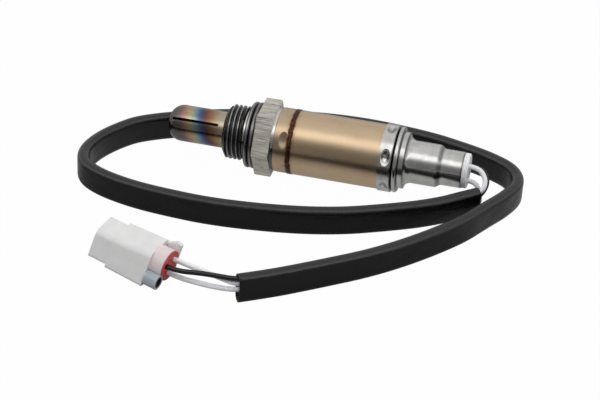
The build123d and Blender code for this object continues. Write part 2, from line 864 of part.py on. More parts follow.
def sleeve_lane(rear_height, front_height, side):
    """One wire's points inside the sleeve, stepping aside where it changes height."""
    middle_height = (rear_height + front_height) / 2
    steps = dict(zip(swap_bends, (rear_height, middle_height, front_height)))
    points = []
    for bend, (x, y) in enumerate(sleeve_route):
        height = rear_height if bend < swap_bends[0] else front_height
        if bend in steps and side:
            before = Vector(*sleeve_route[bend - 1])
            after = Vector(*sleeve_route[bend + 1])
            aside = (after - before).normalized().rotate(Axis.Z, 90) * side
            points.append((x + aside.X, y + aside.Y, steps[bend]))
        else:
            points.append((x, y, height))
    return points


def wire(label, lead, place, rear_points, lane, front_points):
    """A wire from its terminal in the sensor, through the sleeve, to its terminal in the plug."""
    start = lead_plane(tail_reach, lead).origin
    finish = plug_spot(seal_face, place)
    route = [start, *rear_points, *lane, *front_points, finish]
    with BuildPart() as wire_part:
        with BuildLine() as line:
            tube_path(label, route)
        with BuildSketch(Plane(origin=line.line @ 0, z_dir=line.line % 0)):
            Circle(wire_radius)
        sweep(path=line.line)
        with BuildSketch(lead_plane(wire_start, lead)):
            Circle(wire_radius)
        extrude(amount=tail_reach - wire_start)
        with BuildSketch(plug_plane(wire_end)):
            with Locations(place):
                Circle(wire_radius)
        extrude(amount=seal_face - wire_end)
    wire_part.part.label = label
    export_step(wire_part.part, f"parts/{label}.step")


wire(
    "wire_heater_a",
    1,
    plug_wire_places[0],
    [(53.3, -1.55, 13.68), (56.0, -3.6, 11.6), (56.2, -6.0, 9.2)],
    sleeve_lane(lane_top, lane_middle, swap_side_step),
    [(-11.2, -76.1, 6.6), (-16.2, -75.4, 7.4), (-22.8, -73.6, 7.5)],
)
wire(
    "wire_heater_b",
    2,
    plug_wire_places[1],
    [(52.8, -1.55, 8.32), (54.5, -3.6, 5.7), (55.3, -6.0, 4.3)],
    sleeve_lane(lane_bottom, lane_bottom, 0),
    [(-11.7, -77.5, 4.0), (-17.4, -77.1, 4.0), (-24.0, -76.0, 3.9)],
)
wire(
    "wire_signal",
    0,
    plug_wire_places[2],
    [(53.8, 3.1, 11.0), (56.3, 0.2, 9.3), (56.4, -3.9, 7.7)],
    sleeve_lane(lane_middle, lane_top, -swap_side_step),
    [(-11.8, -77.3, 8.0), (-17.4, -77.5, 8.0), (-24.2, -77.6, 7.3)],
)

# --- files --------------------------------------------------------------------------------------

for node in (
    protection_tube,
    sensor_shell,
    gasket_ring,
    seal_washer,
    sensing_thimble,
    powder_packing,
    support_bush,
    crush_ring,
    contact_clip,
    heater_rod,
    disc_spring,
    ceramic_insulator,
    spring_sleeve,
    protective_sleeve,
    rear_cap,
    grommet,
    lead_sleeve,
    plug_housing,
    wire_seal,
    blanking_plug,
):
    export_step(node.part, f"parts/{node.part.label}.step")
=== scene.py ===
# %% [markdown]
# # Oxygen sensor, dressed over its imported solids
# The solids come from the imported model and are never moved. This script gives each of them its
# finish and replaces the few that need finer form: the threaded body, the grommet and the soft
# lead. One could model everything afresh, but the solids already have the right places and sizes.

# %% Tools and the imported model
import json
import math
import bmesh
import bpy
from mathutils import Matrix, Vector


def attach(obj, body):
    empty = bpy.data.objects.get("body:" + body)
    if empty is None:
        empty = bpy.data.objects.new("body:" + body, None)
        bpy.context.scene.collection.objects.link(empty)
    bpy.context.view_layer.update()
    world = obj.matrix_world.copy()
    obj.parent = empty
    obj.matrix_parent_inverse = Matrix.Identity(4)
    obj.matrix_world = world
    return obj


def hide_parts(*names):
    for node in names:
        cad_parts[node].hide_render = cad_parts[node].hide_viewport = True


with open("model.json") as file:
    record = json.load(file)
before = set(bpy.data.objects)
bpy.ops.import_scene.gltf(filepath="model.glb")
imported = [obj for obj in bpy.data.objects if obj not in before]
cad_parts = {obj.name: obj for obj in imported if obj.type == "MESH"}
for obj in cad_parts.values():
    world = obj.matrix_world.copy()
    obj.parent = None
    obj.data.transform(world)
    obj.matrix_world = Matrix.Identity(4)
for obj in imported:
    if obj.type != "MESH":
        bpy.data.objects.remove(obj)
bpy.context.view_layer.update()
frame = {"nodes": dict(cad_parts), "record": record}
nodes = frame["nodes"]

# %% [markdown]
# ## Measures
# The sensor is measured in millimetres along its own axis from the front face of the hexagon, as
# a fitter would. The frame is in metres with its origin under the middle of the sensor. A small
# helper turns one into the other, so that no other line has to.

# %% Measures, in millimetres
MM = 0.001
hex_front = -19.4
axis_height = 11.0


def place(x, y, z):
    """A point of the frame in metres, from millimetres."""
    return Vector((x * MM, y * MM, z * MM))


print("front face of the hexagon at x", hex_front, "mm, axis at height", axis_height, "mm")

# %% [markdown]
# ## Where the viewer stands
# A long lens, a little above the bench, turned slightly so that the cap's end shows. A constraint
# could aim the camera, but three axes worked out here also give it its slight roll.

# %% Camera
view_azimuth = math.radians(12.19)
view_elevation = math.radians(32.553)
view_roll = math.radians(3.272)
view_distance = 664.1
view_target = place(14.533 + hex_front, 0, -11.054)

back = Vector(
    (
        math.sin(view_azimuth) * math.cos(view_elevation),
        -math.cos(view_azimuth) * math.cos(view_elevation),
        math.sin(view_elevation),
    )
)
level_right = Vector((math.cos(view_azimuth), math.sin(view_azimuth), 0))
level_up = back.cross(level_right)
right = math.cos(view_roll) * level_right + math.sin(view_roll) * level_up
up = back.cross(right)
lens = bpy.data.cameras.new("camera")
lens.lens = 120
lens.sensor_width = 36
lens.clip_start = 0.01
lens.clip_end = 20
lens.dof.use_dof = False
camera = bpy.data.objects.new("camera", lens)
bpy.context.scene.collection.objects.link(camera)
turn = Matrix((right, up, back)).transposed().to_4x4()
camera.matrix_world = Matrix.Translation(view_target + back * view_distance * MM) @ turn
bpy.context.scene.camera = camera
print("camera at", [round(v, 3) for v in camera.matrix_world.translation])

# %% [markdown]
# ## The lead: where the sleeve runs
# Three wires leave the grommet, go into a flat black sleeve, pass once round the sensor and end in
# a small white plug. The route repeats the one that the solids follow. A polyline with rounded
# corners would look like bent wire, so a smooth spline is steered by these few points instead.

# %% Lead: route of the sleeve
sleeve_route = [
    (54.5, -7.1),
    (50.0, -11.0),
    (43.6, -16.9),
    (33.2, -23.5),
    (10.3, -34.6),
    (-21.5, -39.8),
    (-44.4, -38.5),
    (-55.5, -36.4),
    (-64.3, -33.3),
    (-70.3, -29.0),
    (-72.7, -21.6),
    (-70.8, -12.9),
    (-66.7, -5.0),
    (-60.5, 3.0),
    (-39.6, 13.9),
    (-15.6, 21.4),
    (8.7, 24.9),
    (32.6, 22.6),
    (44.2, 19.5),
    (55.1, 15.8),
    (63.2, 10.9),
    (66.3, 3.3),
    (63.5, -5.6),
    (58.4, -14.5),
    (51.6, -27.4),
    (33.2, -49.0),
    (12.3, -65.1),
    (2.3, -72.3),
    (-5.6, -77.1),
]
print("points along the sleeve", len(sleeve_route))

# %% [markdown]
# ## The lead: lanes inside the sleeve
# The wires lie one above the other in the sleeve, each in its own lane. The upper two change places
# behind the sensor, so that each comes out at its own height at the front end. They could cross
# straight through each other unseen, but real wires can't, so they step aside to pass.

# %% Lead: lanes inside the sleeve
swap_bends = (15, 16, 17)
wire_side_step = 0.84


def sleeve_lane(rear_height, front_height, side):
    """One wire's points inside the sleeve, stepping aside where it changes height."""
    middle_height = (rear_height + front_height) / 2
    steps = dict(zip(swap_bends, (rear_height, middle_height, front_height)))
    points = []
    for bend, (x, y) in enumerate(sleeve_route):
        height = rear_height if bend < swap_bends[0] else front_height
        if bend in steps and side:
            before = Vector(sleeve_route[bend - 1])
            after = Vector(sleeve_route[bend + 1])
            along = (after - before).normalized()
            x += -along.y * side
            y += along.x * side
            height = steps[bend]
        points.append((x, y, height))
    return points


print("the upper wires change places over the sleeve's bends", swap_bends)

# %% [markdown]
# ## The lead: where the wires run
# Outside the sleeve each wire makes its own way: a tight bend from the grommet at one end and a
# gentle fan to the plug at the other. One route could be shifted sideways three times, but loose
# wires never lie that evenly, so each has its own points at both ends.

# %% Lead: routes of the wires
wire_routes = {
    "wire_heater_a": [
        (50.1, -1.55, 13.685),
        (53.3, -1.55, 13.68),
        (56.0, -3.6, 11.6),
        (56.2, -6.0, 9.2),
        *sleeve_lane(7.9, 6.0, wire_side_step),
        (-11.2, -76.1, 6.6),
        (-16.2, -75.4, 7.4),
        (-22.8, -73.6, 7.5),
        (-26.637, -72.685, 7.869),
    ],
    "wire_heater_b": [
        (50.1, -1.55, 8.315),
        (52.8, -1.55, 8.32),
        (54.5, -3.6, 5.7),
        (55.3, -6.0, 4.3),
        *sleeve_lane(4.1, 4.1, 0),
        (-11.7, -77.5, 4.0),
        (-17.4, -77.1, 4.0),
        (-24.0, -76.0, 3.9),
        (-27.743, -74.940, 4.267),
    ],
    "wire_signal": [
        (50.1, 3.1, 11.0),
        (53.8, 3.1, 11.0),
        (56.3, 0.2, 9.3),
        (56.4, -3.9, 7.7),
        *sleeve_lane(6.0, 7.9, -wire_side_step),
        (-11.8, -77.3, 8.0),
        (-17.4, -77.5, 8.0),
        (-24.2, -77.6, 7.3),
        (-27.714, -76.675, 7.559),
    ],
}
print("points along each wire", {name: len(route) for name, route in wire_routes.items()})

# %% [markdown]
# ## The lead: from points to a tube
# A spline is a line without thickness. Blender can give it a round bevel and turn the result into a
# mesh, which takes less work than laying rings round it one by one.

# %% Lead: helpers for lines and tubes


def add_object(name, data):
    """A new object in the scene that rides on the sensor."""
    piece = bpy.data.objects.new(name, data)
    bpy.context.scene.collection.objects.link(piece)
    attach(piece, "root")
    return piece


def spline_curve(name, points, resolution=6):
    """A smooth curve that the given points steer."""
    curve = bpy.data.curves.new(name, "CURVE")
    curve.dimensions = "3D"
    curve.resolution_u = resolution
    spline = curve.splines.new("NURBS")
    spline.points.add(len(points) - 1)
    for control, point in zip(spline.points, points):
        control.co = (*place(*point), 1)
    spline.order_u = 3
    spline.use_endpoint_u = True
    return curve


def curve_points(curve):
    """The points that the smooth curve passes through, in order."""
    holder = bpy.data.objects.new("holder", curve)
    mesh = bpy.data.meshes.new_from_object(holder)
    points = [v.co.copy() for v in mesh.vertices]
    bpy.data.meshes.remove(mesh)
    bpy.data.objects.remove(holder)
    return points


def swept_tube(name, curve, radius):
    """The round tube that a smooth curve sweeps, as a mesh."""
    curve.bevel_depth = radius
    curve.bevel_resolution = 5
    holder = bpy.data.objects.new("holder", curve)
    mesh = bpy.data.meshes.new_from_object(holder)
    mesh.name = name
    bpy.data.objects.remove(holder)
    for face in mesh.polygons:
        face.use_smooth = True
    return mesh


print("helpers for the lead are ready")

# %% [markdown]
# ## The lead: wires
# Each wire is a stranded core in smooth round insulation. A curve with a round bevel would do,
# but Blender counts a metre round a curve's points into its box, so the views would be framed far
# too wide. The same tube as a mesh has the right box.

# %% Lead: wires
wire_diameter = 1.6
wires = {}
for name, route in wire_routes.items():
    curve = spline_curve(name + "_line", route)
    curve_points(curve)
    wire = add_object(name + "_skin", swept_tube(name + "_skin", curve, wire_diameter / 2 * MM))
    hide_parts(name)
    wires[name] = wire
plug_nodes = ["plug_housing", "wire_seal", "blanking_plug"]
plug_nodes += [f"plug_terminal_{number}" for number in (1, 2, 3)]

# %% [markdown]
# ## The lead: section of the sleeve
# The sleeve is a soft extruded tube, pressed flat and standing on its edge, with a thin wall. A
# flattened circle would be round all over, but the real section has flat sides and round edges, so
# it is one rounded rectangle inside another.

# %% Lead: section of the sleeve
sleeve_width = 9.6
sleeve_thickness = 4.1
sleeve_wall = 0.35
sleeve_rounding = 1.95


def rounded_section(width, height, radius, steps=6):
    """Points round a rectangle with rounded corners, width across and height up."""
    points = []
    for corner, (sx, sy) in enumerate(((1, 1), (-1, 1), (-1, -1), (1, -1))):
        centre = Vector((sx * (width / 2 - radius), sy * (height / 2 - radius)))
        for step in range(steps + 1):
            angle = math.radians(90 * corner + 90 * step / steps)
            points.append(centre + radius * Vector((math.cos(angle), math.sin(angle))))
    return points


outer = rounded_section(sleeve_thickness, sleeve_width, sleeve_rounding)
inner = rounded_section(
    sleeve_thickness - 2 * sleeve_wall,
    sleeve_width - 2 * sleeve_wall,
    sleeve_rounding - sleeve_wall,
)
print("points round the sleeve", len(outer), "outside", len(inner), "painted_inside_shade")

# %% [markdown]
# ## The lead: flat sleeve
# The section follows the sleeve's route. A bevelled curve twists where it bends, so rings of the
# section are laid one by one across the line and joined, and they stay upright all the way round.

# %% Lead: flat sleeve
sleeve_line = curve_points(
    spline_curve("sleeve_line", [(x, y, sleeve_width / 2) for x, y in sleeve_route], 12)
)
mesh = bpy.data.meshes.new("sleeve_skin")
shape = bmesh.new()
rings = []
for number, point in enumerate(sleeve_line):
    before = sleeve_line[max(number - 1, 0)]
    after = sleeve_line[min(number + 1, len(sleeve_line) - 1)]
    along = (after - before).normalized()
    aside = Vector((-along.y, along.x, 0))
    ring = []
    for profile in (outer, inner):
        ring.append(
            [shape.verts.new(point + aside * p.x * MM + Vector((0, 0, p.y * MM))) for p in profile]
        )
    rings.append(ring)
count = len(outer)
for first, second in zip(rings, rings[1:]):
    for k in range(count):
        j = (k + 1) % count
        shape.faces.new((first[0][k], second[0][k], second[0][j], first[0][j]))
        shape.faces.new((first[1][j], second[1][j], second[1][k], first[1][k]))
for ring, flip in ((rings[0], False), (rings[-1], True)):
    for k in range(count):
        j = (k + 1) % count
        corners = (ring[0][k], ring[0][j], ring[1][j], ring[1][k])
        shape.faces.new(corners[::-1] if flip else corners)
bmesh.ops.recalc_face_normals(shape, faces=shape.faces)
for face in shape.faces:
    face.smooth = True
shape.to_mesh(mesh)
shape.free()
sleeve = add_object("sleeve_skin", mesh)
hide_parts("lead_sleeve")

# %% [markdown]
# ## The threaded body: its radius everywhere
# The real body is turned from hexagon bar and its thread is cut last. A screw modifier could make
# the thread, but it would have to be joined to the rest. Here functions give the radius at every
# station and angle: a circle on the turned parts, six flats on the hexagon, and a helical groove
# on the thread.

# %% Threaded body: outline
thread_radius = 9.0
thread_pitch = 1.5
thread_depth = 0.90
crest_share = 0.14
flank_share = 0.66
root_start = 0.8
runout_length = 0.5
thread_front = -11.1
thread_end = -4.2
relief_radius = 8.15
nose_radius = 7.3
lead_in = 1.2
hex_flat_radius = 11.0
hex_width = 5.6
hex_chamfer = 0.25
ring_points = 240


def thread_radius_at(station, angle):
    """Radius of the cut thread: flat crests, straight flanks and rounded roots."""
    phase = (station - thread_front) / thread_pitch - angle / (2 * math.pi)
    away = abs(phase - round(phase)) * 2
    groove = min(max((away - crest_share) / flank_share, 0), 1)
    groove = groove if groove < root_start else 1 - (1 - groove) ** 2
    runout = min(max((thread_end - station) / runout_length, 0), 1)
    cut = thread_radius - thread_depth * groove * runout
    cut = cut * runout + relief_radius * (1 - runout)
    cone = nose_radius + (thread_radius - nose_radius) * (station - thread_front) / lead_in
    return min(cut, max(cone, nose_radius))


def hex_radius_at(angle, inset):
    """Radius to a flat of the hexagon, which stands on one of its flats."""
    sector = math.radians(60)
    from_flat = (angle - math.radians(90)) % sector
    from_flat = min(from_flat, sector - from_flat)
    return (hex_flat_radius - inset) / math.cos(from_flat)


print("thread root radius", thread_radius - thread_depth)
print("radius to a corner of the hexagon", round(hex_radius_at(math.radians(120), 0), 2))

# %% [markdown]
# ## The threaded body: rings along it
# A turner cuts the outline from one end to the other. The rings follow it in the same order: the
# thread, the hexagon, the shoulder that the shield sits on, and back through the bore.

# %% Threaded body: rings
body_rings = []
body_parts = []
thread_rows = 92
ring_angles = [2 * math.pi * k / ring_points for k in range(ring_points)]
for row in range(thread_rows + 1):
    station = thread_front + (thread_end - thread_front) * row / thread_rows
    body_rings.append([(station, thread_radius_at(station, angle)) for angle in ring_angles])
    body_parts.append("thread")


def add_round_ring(station, radius, part):
    """One plain ring of the turned body."""
    body_rings.append([(station, radius)] * ring_points)
    body_parts.append(part)


def add_hex_ring(station, inset):
    """One ring that follows the six flats."""
    body_rings.append([(station, hex_radius_at(angle, inset)) for angle in ring_angles])
    body_parts.append("hexagon")


add_round_ring(0, relief_radius, "waist")
add_hex_ring(0, hex_chamfer)
add_hex_ring(hex_chamfer, 0)
add_hex_ring(hex_width - hex_chamfer, 0)
add_hex_ring(hex_width, hex_chamfer)
for station, radius in (
    (5.6, 10.45),
    (5.75, 10.3),
    (6.5, 10.3),
    (6.5, 10.1),
    (7.9, 10.1),
    (7.9, 9.65),
    (11.7, 9.65),
    (11.7, 10.1),
    (13.0, 10.1),
    (13.0, 5.8),
    (12.3, 5.8),
    (12.3, 6.6),
    (-7.4, 6.6),
    (-7.4, 4.9),
    (-10.0, 4.9),
    (-10.0, 6.95),
    (-10.5, 6.95),
    (-10.5, 6.05),
    (-11.1, 6.05),
):
    add_round_ring(station, radius, "waist")
print("body rings", len(body_rings))

# %% [markdown]
# ## The threaded body: skin
# The rings close on themselves along the body and round it, so the skin has no open edge. Faces are
# smooth, and edges sharper than 35 degrees are marked, as the chamfers and shoulders of steel are.

# %% Threaded body: skin


def turned_point(station, radius, angle):
    """A point of a turned part in metres, from its station, radius and angle."""
    across = radius * math.cos(angle)
    return place(hex_front + station, across, axis_height + radius * math.sin(angle))


body_sharp_angle = math.radians(35)
body_mesh = bpy.data.meshes.new("sensor_shell_skin")
shape = bmesh.new()
grid = []
for ring in body_rings:
    grid.append(
        [
            shape.verts.new(turned_point(station, radius, angle))
            for (station, radius), angle in zip(ring, ring_angles)
        ]
    )
body_slots = {"thread": 0, "hexagon": 1, "waist": 2}
for row in range(len(grid)):
    here, there = grid[row], grid[(row + 1) % len(grid)]
    for k in range(ring_points):
        j = (k + 1) % ring_points
        face = shape.faces.new((here[k], there[k], there[j], here[j]))
        face.smooth = True
        face.material_index = body_slots[body_parts[(row + 1) % len(grid)]]
bmesh.ops.recalc_face_normals(shape, faces=shape.faces)
shape.to_mesh(body_mesh)
shape.free()
body_mesh.set_sharp_from_angle(angle=body_sharp_angle)
body = add_object("sensor_shell_skin", body_mesh)
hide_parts("sensor_shell")
print("body faces", len(body_mesh.polygons))

# %% [markdown]
# ## The grommet
# The white grommet is a plain turned bush that the cap is crimped on to, with a collar that hides
# the rim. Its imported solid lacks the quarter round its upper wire, so the whole bush is turned
# here from the same outline. A loop that works like a lathe is shorter than mending the solid by
# booleans. It needs no wire holes, because each wire starts on its rear face.

# %% Grommet
grommet_points = 96
grommet_sharp_angle = math.radians(40)
grommet_outline = (
    (62.6, 0.0),
    (62.6, 5.5),
    (67.7, 5.5),
    (67.7, 5.7),
    (68.9, 5.7),
    (69.13, 5.654),
    (69.32, 5.524),
    (69.45, 5.33),
    (69.5, 5.1),
    (69.5, 0.0),
)
grommet_mesh = bpy.data.meshes.new("grommet_skin")
shape = bmesh.new()
grid = []
for station, radius in grommet_outline:
    corners = []
    for k in range(grommet_points if radius else 1):
        angle = 2 * math.pi * k / grommet_points
        corners.append(shape.verts.new(turned_point(station, radius, angle)))
    grid.append(corners)
for here, there in zip(grid, grid[1:]):
    for k in range(grommet_points):
        j = (k + 1) % grommet_points
        corners = [here[k % len(here)], there[k % len(there)]]
        corners += [there[j % len(there)], here[j % len(here)]]
        face = shape.faces.new(list(dict.fromkeys(corners)))
        face.smooth = True
bmesh.ops.recalc_face_normals(shape, faces=shape.faces)
shape.to_mesh(grommet_mesh)
shape.free()
grommet_mesh.set_sharp_from_angle(angle=grommet_sharp_angle)
grommet = add_object("grommet_skin", grommet_mesh)
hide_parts("grommet")
print("grommet faces", len(grommet_mesh.polygons))

# %% [markdown]
# ## Finishes: starting one
# Every finish starts from one shader and gets its colour, roughness and relief from procedural
# nodes that read the place on the object, so they need no unwrapping. Painted images would need
# both unwrapping and files.

# %% Helpers: nodes


def start_finish(name, color, metallic, roughness):
    """A new material with its node tree and its shader."""
    material = bpy.data.materials.new(name)
    material.use_nodes = True
    tree = material.node_tree
    shader = tree.nodes["Principled BSDF"]
    shader.inputs["Base Color"].default_value = (*color, 1)
    shader.inputs["Metallic"].default_value = metallic
    shader.inputs["Roughness"].default_value = roughness
    return material, tree, shader


def put(tree, kind, **settings):
    """A node with its properties set."""
    node = tree.nodes.new(kind)
    for name, value in settings.items():
        setattr(node, name, value)
    return node


def feed(tree, socket, value):
    """A number, a colour or another node's output into a socket."""
    if isinstance(value, bpy.types.NodeSocket):
        tree.links.new(value, socket)
    else:
        socket.default_value = value


def sum_up(tree, operation, first, second=0.0, third=0.0):
    """One step of arithmetic."""
    node = put(tree, "ShaderNodeMath", operation=operation)
    for socket, value in zip(node.inputs, (first, second, third)):
        feed(tree, socket, value)
    return node.outputs[0]


print("helpers for nodes are ready")

# %% [markdown]
# ## Finishes: where a point lies
# A lathe thinks in stations along the axis and radii from it, and so do the finishes of its parts.
# The object's own coordinates are the frame's, so both are a few steps of arithmetic away.

# %% Helpers: places


def object_point(tree):
    """The point on the object, in metres."""
    return put(tree, "ShaderNodeTexCoord").outputs["Object"]


def object_place(tree):
    """The same point, split into its distances along X, Y and Z."""
    split = put(tree, "ShaderNodeSeparateXYZ")
    tree.links.new(object_point(tree), split.inputs[0])
    return split.outputs


def station_of(tree):
    """Distance along the sensor from the hexagon's face, in millimetres."""
    return sum_up(tree, "MULTIPLY_ADD", object_place(tree)["X"], 1 / MM, -hex_front)


def sum_of_squares(tree, first, second):
    """The squares of two values, added."""
    first_square = sum_up(tree, "MULTIPLY", first, first)
    return sum_up(tree, "ADD", first_square, sum_up(tree, "MULTIPLY", second, second))


def radius_of(tree):
    """Distance from the sensor's axis, in millimetres."""
    spot = object_place(tree)
    above_axis = sum_up(tree, "SUBTRACT", spot["Z"], axis_height * MM)
    squares = sum_of_squares(tree, spot["Y"], above_axis)
    return sum_up(tree, "MULTIPLY", sum_up(tree, "SQRT", squares), 1 / MM)


print("helpers for places are ready")

# %% [markdown]
# ## Finishes: grain, colour and relief
# Brushing, grime and torn metal are all noise that is stretched one way or another. Colour scales
# turn a value into a colour, and a bump node turns it into a slight rise or hollow.

# %% Helpers: grain, colour and relief


def grain(tree, stretch, detail=3.0, roughness=0.55):
    """Noise stretched by a factor along each direction, per millimetre."""
    mapping = put(tree, "ShaderNodeMapping")
    tree.links.new(object_point(tree), mapping.inputs["Vector"])
    mapping.inputs["Scale"].default_value = tuple(s / MM for s in stretch)
    noise = put(tree, "ShaderNodeTexNoise")
    tree.links.new(mapping.outputs[0], noise.inputs["Vector"])
    noise.inputs["Scale"].default_value = 1.0
    noise.inputs["Detail"].default_value = detail
    noise.inputs["Roughness"].default_value = roughness
    return noise.outputs["Fac"]


def spread(tree, value, low, high, new_low=0.0, new_high=1.0):
    """Stretch a range of values on to another."""
    node = put(tree, "ShaderNodeMapRange")
    for socket, number in zip(node.inputs, (value, low, high, new_low, new_high)):
        feed(tree, socket, number)
    return node.outputs[0]


def grey(level):
    """A neutral colour of one level."""
    return (level, level, level)


def color_scale(tree, value, low, high, stops):
    """Colours along a range of values: stops are (value, colour)."""
    node = put(tree, "ShaderNodeValToRGB")
    ramp = node.color_ramp
    while len(ramp.elements) > 1:
        ramp.elements.remove(ramp.elements[-1])
    for number, (at, color) in enumerate(stops):
        position = (at - low) / (high - low)
        if number:
            element = ramp.elements.new(position)
        else:
            element = ramp.elements[0]
            element.position = position
        element.color = (*color, 1)
    tree.links.new(spread(tree, value, low, high), node.inputs[0])
    return node.outputs[0]


def blend_colors(tree, factor, first, second, mode="MIX"):
    """Two colours mixed by a factor."""
    node = put(tree, "ShaderNodeMix", data_type="RGBA", blend_type=mode)
    feed(tree, node.inputs["Factor"], factor)
    for socket, value in ((node.inputs[6], first), (node.inputs[7], second)):
        feed(tree, socket, value if isinstance(value, bpy.types.NodeSocket) else (*value, 1))
    return node.outputs[2]


def relief(tree, shader, height, depth_mm):
    """Raise and sink the surface by a height between 0 and 1."""
    node = put(tree, "ShaderNodeBump")
    node.inputs["Strength"].default_value = 1.0
    node.inputs["Distance"].default_value = depth_mm * MM
    tree.links.new(height, node.inputs["Height"])
    tree.links.new(node.outputs[0], shader.inputs["Normal"])


print("helpers for grain, colour and relief are ready")

# %% [markdown]
# ## Finishes: bowls of the pressed dents
# Six dents hold the cap on the shield and six more hold the shield on the body. The solids have
# them as straight hollows of a rod. A round-nosed punch leaves a bowl, and a bump adds it inside
# each hollow.

# %% Helpers: dents
dent_count = 6
dent_half_width = 3.0
dent_half_length = 1.6
cap_dent_station = 43.4
cap_dent_radius = 11.2
cap_dent_depth = 0.9
shield_dent_station = 9.8
shield_dent_radius = 10.6
shield_dent_depth = 0.3


def dent_bowl(tree, dent_station, radius):
    """Depth of the six pressed dents round the sensor, from 0 at a rim to 1 in its middle."""
    spot = object_place(tree)
    above_axis = sum_up(tree, "SUBTRACT", spot["Z"], axis_height * MM)
    turn = sum_up(tree, "ARCTAN2", above_axis, spot["Y"])
    turn = sum_up(tree, "MULTIPLY", turn, dent_count / 2 / math.pi)
    share = sum_up(tree, "FRACT", sum_up(tree, "ADD", turn, dent_count))
    off_middle = sum_up(tree, "SUBTRACT", share, 0.5)
    dent_spacing = 2 * math.pi * radius / dent_count
    across = sum_up(tree, "MULTIPLY", off_middle, dent_spacing / dent_half_width)
    along = sum_up(tree, "SUBTRACT", station_of(tree), dent_station)
    along = sum_up(tree, "MULTIPLY", along, 1 / dent_half_length)
    hollow = sum_up(tree, "SUBTRACT", 1.0, sum_of_squares(tree, across, along))
    hollow = sum_up(tree, "MAXIMUM", hollow, 0.0)
    return sum_up(tree, "MULTIPLY", hollow, hollow)


print("dents at stations", cap_dent_station, "and", shield_dent_station)

# %% [markdown]
# ## Heat tint on the probe
# Stainless steel that has been hot carries an oxide film whose colour runs from straw through
# brown and blue to grey with the heat it reached. Thin-film colours could be computed by the
# shader, but a colour scale along the probe puts each band where it belongs.

# %% Finish: tinted probe
tip_reach = 30.7
tube_radius = 6.0
tip_bend = 4.6
band_lean = 0.36
probe_steel, tree, shader = start_finish("probe_steel", grey(0.5), 1.0, 0.22)
ragged = spread(tree, grain(tree, (0.25, 0.35, 0.35), 4), 0, 1, -0.5, 0.5)
z = object_place(tree)["Z"]
sag = sum_up(tree, "MULTIPLY_ADD", z, band_lean / MM, -band_lean * (axis_height + tube_radius))
heat_place = sum_up(tree, "ADD", station_of(tree), sum_up(tree, "ADD", ragged, sag))
heat = color_scale(
    tree,
    heat_place,
    -32,
    -9,
    [
        (-31.0, (0.11, 0.105, 0.10)),
        (-28.2, (0.13, 0.12, 0.115)),
        (-26.8, (0.18, 0.135, 0.125)),
        (-25.4, (0.38, 0.21, 0.17)),
        (-24.2, (0.46, 0.34, 0.18)),
        (-23.2, (0.40, 0.38, 0.25)),
        (-22.2, (0.28, 0.35, 0.32)),
        (-21.2, (0.15, 0.25, 0.32)),
        (-20.2, (0.07, 0.13, 0.24)),
        (-19.2, (0.08, 0.075, 0.14)),
        (-18.3, (0.14, 0.065, 0.07)),
        (-17.2, (0.23, 0.11, 0.06)),
        (-16.0, (0.31, 0.185, 0.10)),
        (-14.8, (0.38, 0.28, 0.18)),
        (-13.0, (0.45, 0.38, 0.28)),
        (-10.0, (0.44, 0.42, 0.38)),
    ],
)
mottle = spread(tree, grain(tree, (0.9, 0.9, 0.9), 5), 0.35, 0.75)
heat = blend_colors(tree, sum_up(tree, "MULTIPLY", mottle, 0.25), heat, (0.10, 0.08, 0.07))
# Painted shade: the inside of the tube, seen through its slits, is painted near black and made
# rougher.
past_bend = sum_up(tree, "SUBTRACT", tip_bend - tip_reach, station_of(tree))
past_bend = sum_up(tree, "MAXIMUM", past_bend, 0.0)
off_bend = sum_up(tree, "SUBTRACT", radius_of(tree), tube_radius - tip_bend)
off_bend = sum_up(tree, "MAXIMUM", off_bend, 0.0)
from_bend = sum_up(tree, "SQRT", sum_of_squares(tree, past_bend, off_bend))
painted_inside_shade = spread(tree, from_bend, tip_bend - 0.3, tip_bend - 0.08, 1, 0)
tree.links.new(blend_colors(tree, painted_inside_shade, heat, (0.006, 0.005, 0.005)), shader.inputs["Base Color"])
film_roughness = spread(tree, mottle, 0, 1, 0.19, 0.28)
tree.links.new(
    sum_up(tree, "MULTIPLY_ADD", painted_inside_shade, 0.5, film_roughness), shader.inputs["Roughness"]
)
relief(tree, shader, grain(tree, (0.8, 0.8, 0.8), 2), 0.004)
print("probe finish nodes", len(tree.nodes))

# %% [markdown]
# ## Steel of the thread
# The roots of the thread are painted dark as painted shade, and random grime stains it all over.
# The radius tells root from crest, so a colour scale over it does what painting by hand would.

# %% Finish: thread
thread_steel, tree, shader = start_finish("thread_steel", grey(0.2), 1.0, 0.3)
# Painted shade: the thread's roots are darker than its crests.
root_shade_and_stain = color_scale(
    tree,
    radius_of(tree),
    8.0,
    9.1,
    [
        (8.1, (0.05, 0.049, 0.048)),
        (8.5, grey(0.16)),
        (8.82, grey(0.30)),
        (9.0, grey(0.46)),
    ],
)
stain = spread(tree, grain(tree, (0.5, 0.5, 0.5), 4), 0.35, 0.7)
root_shade_and_stain = blend_colors(tree, sum_up(tree, "MULTIPLY", stain, 0.5), root_shade_and_stain, (0.05, 0.048, 0.045))
tree.links.new(root_shade_and_stain, shader.inputs["Base Color"])
tree.links.new(spread(tree, stain, 0, 1, 0.26, 0.46), shader.inputs["Roughness"])
relief(tree, shader, grain(tree, (4, 1, 1), 3), 0.01)
print("thread finish nodes", len(tree.nodes))

# %% [markdown]
# ## Steel of the hexagon
# The flats are as drawn: dull, with a torn grain that runs along the bar. Noise that is stretched
# along the axis gives the grain, and a second one, cut off low, gives the darker tears.

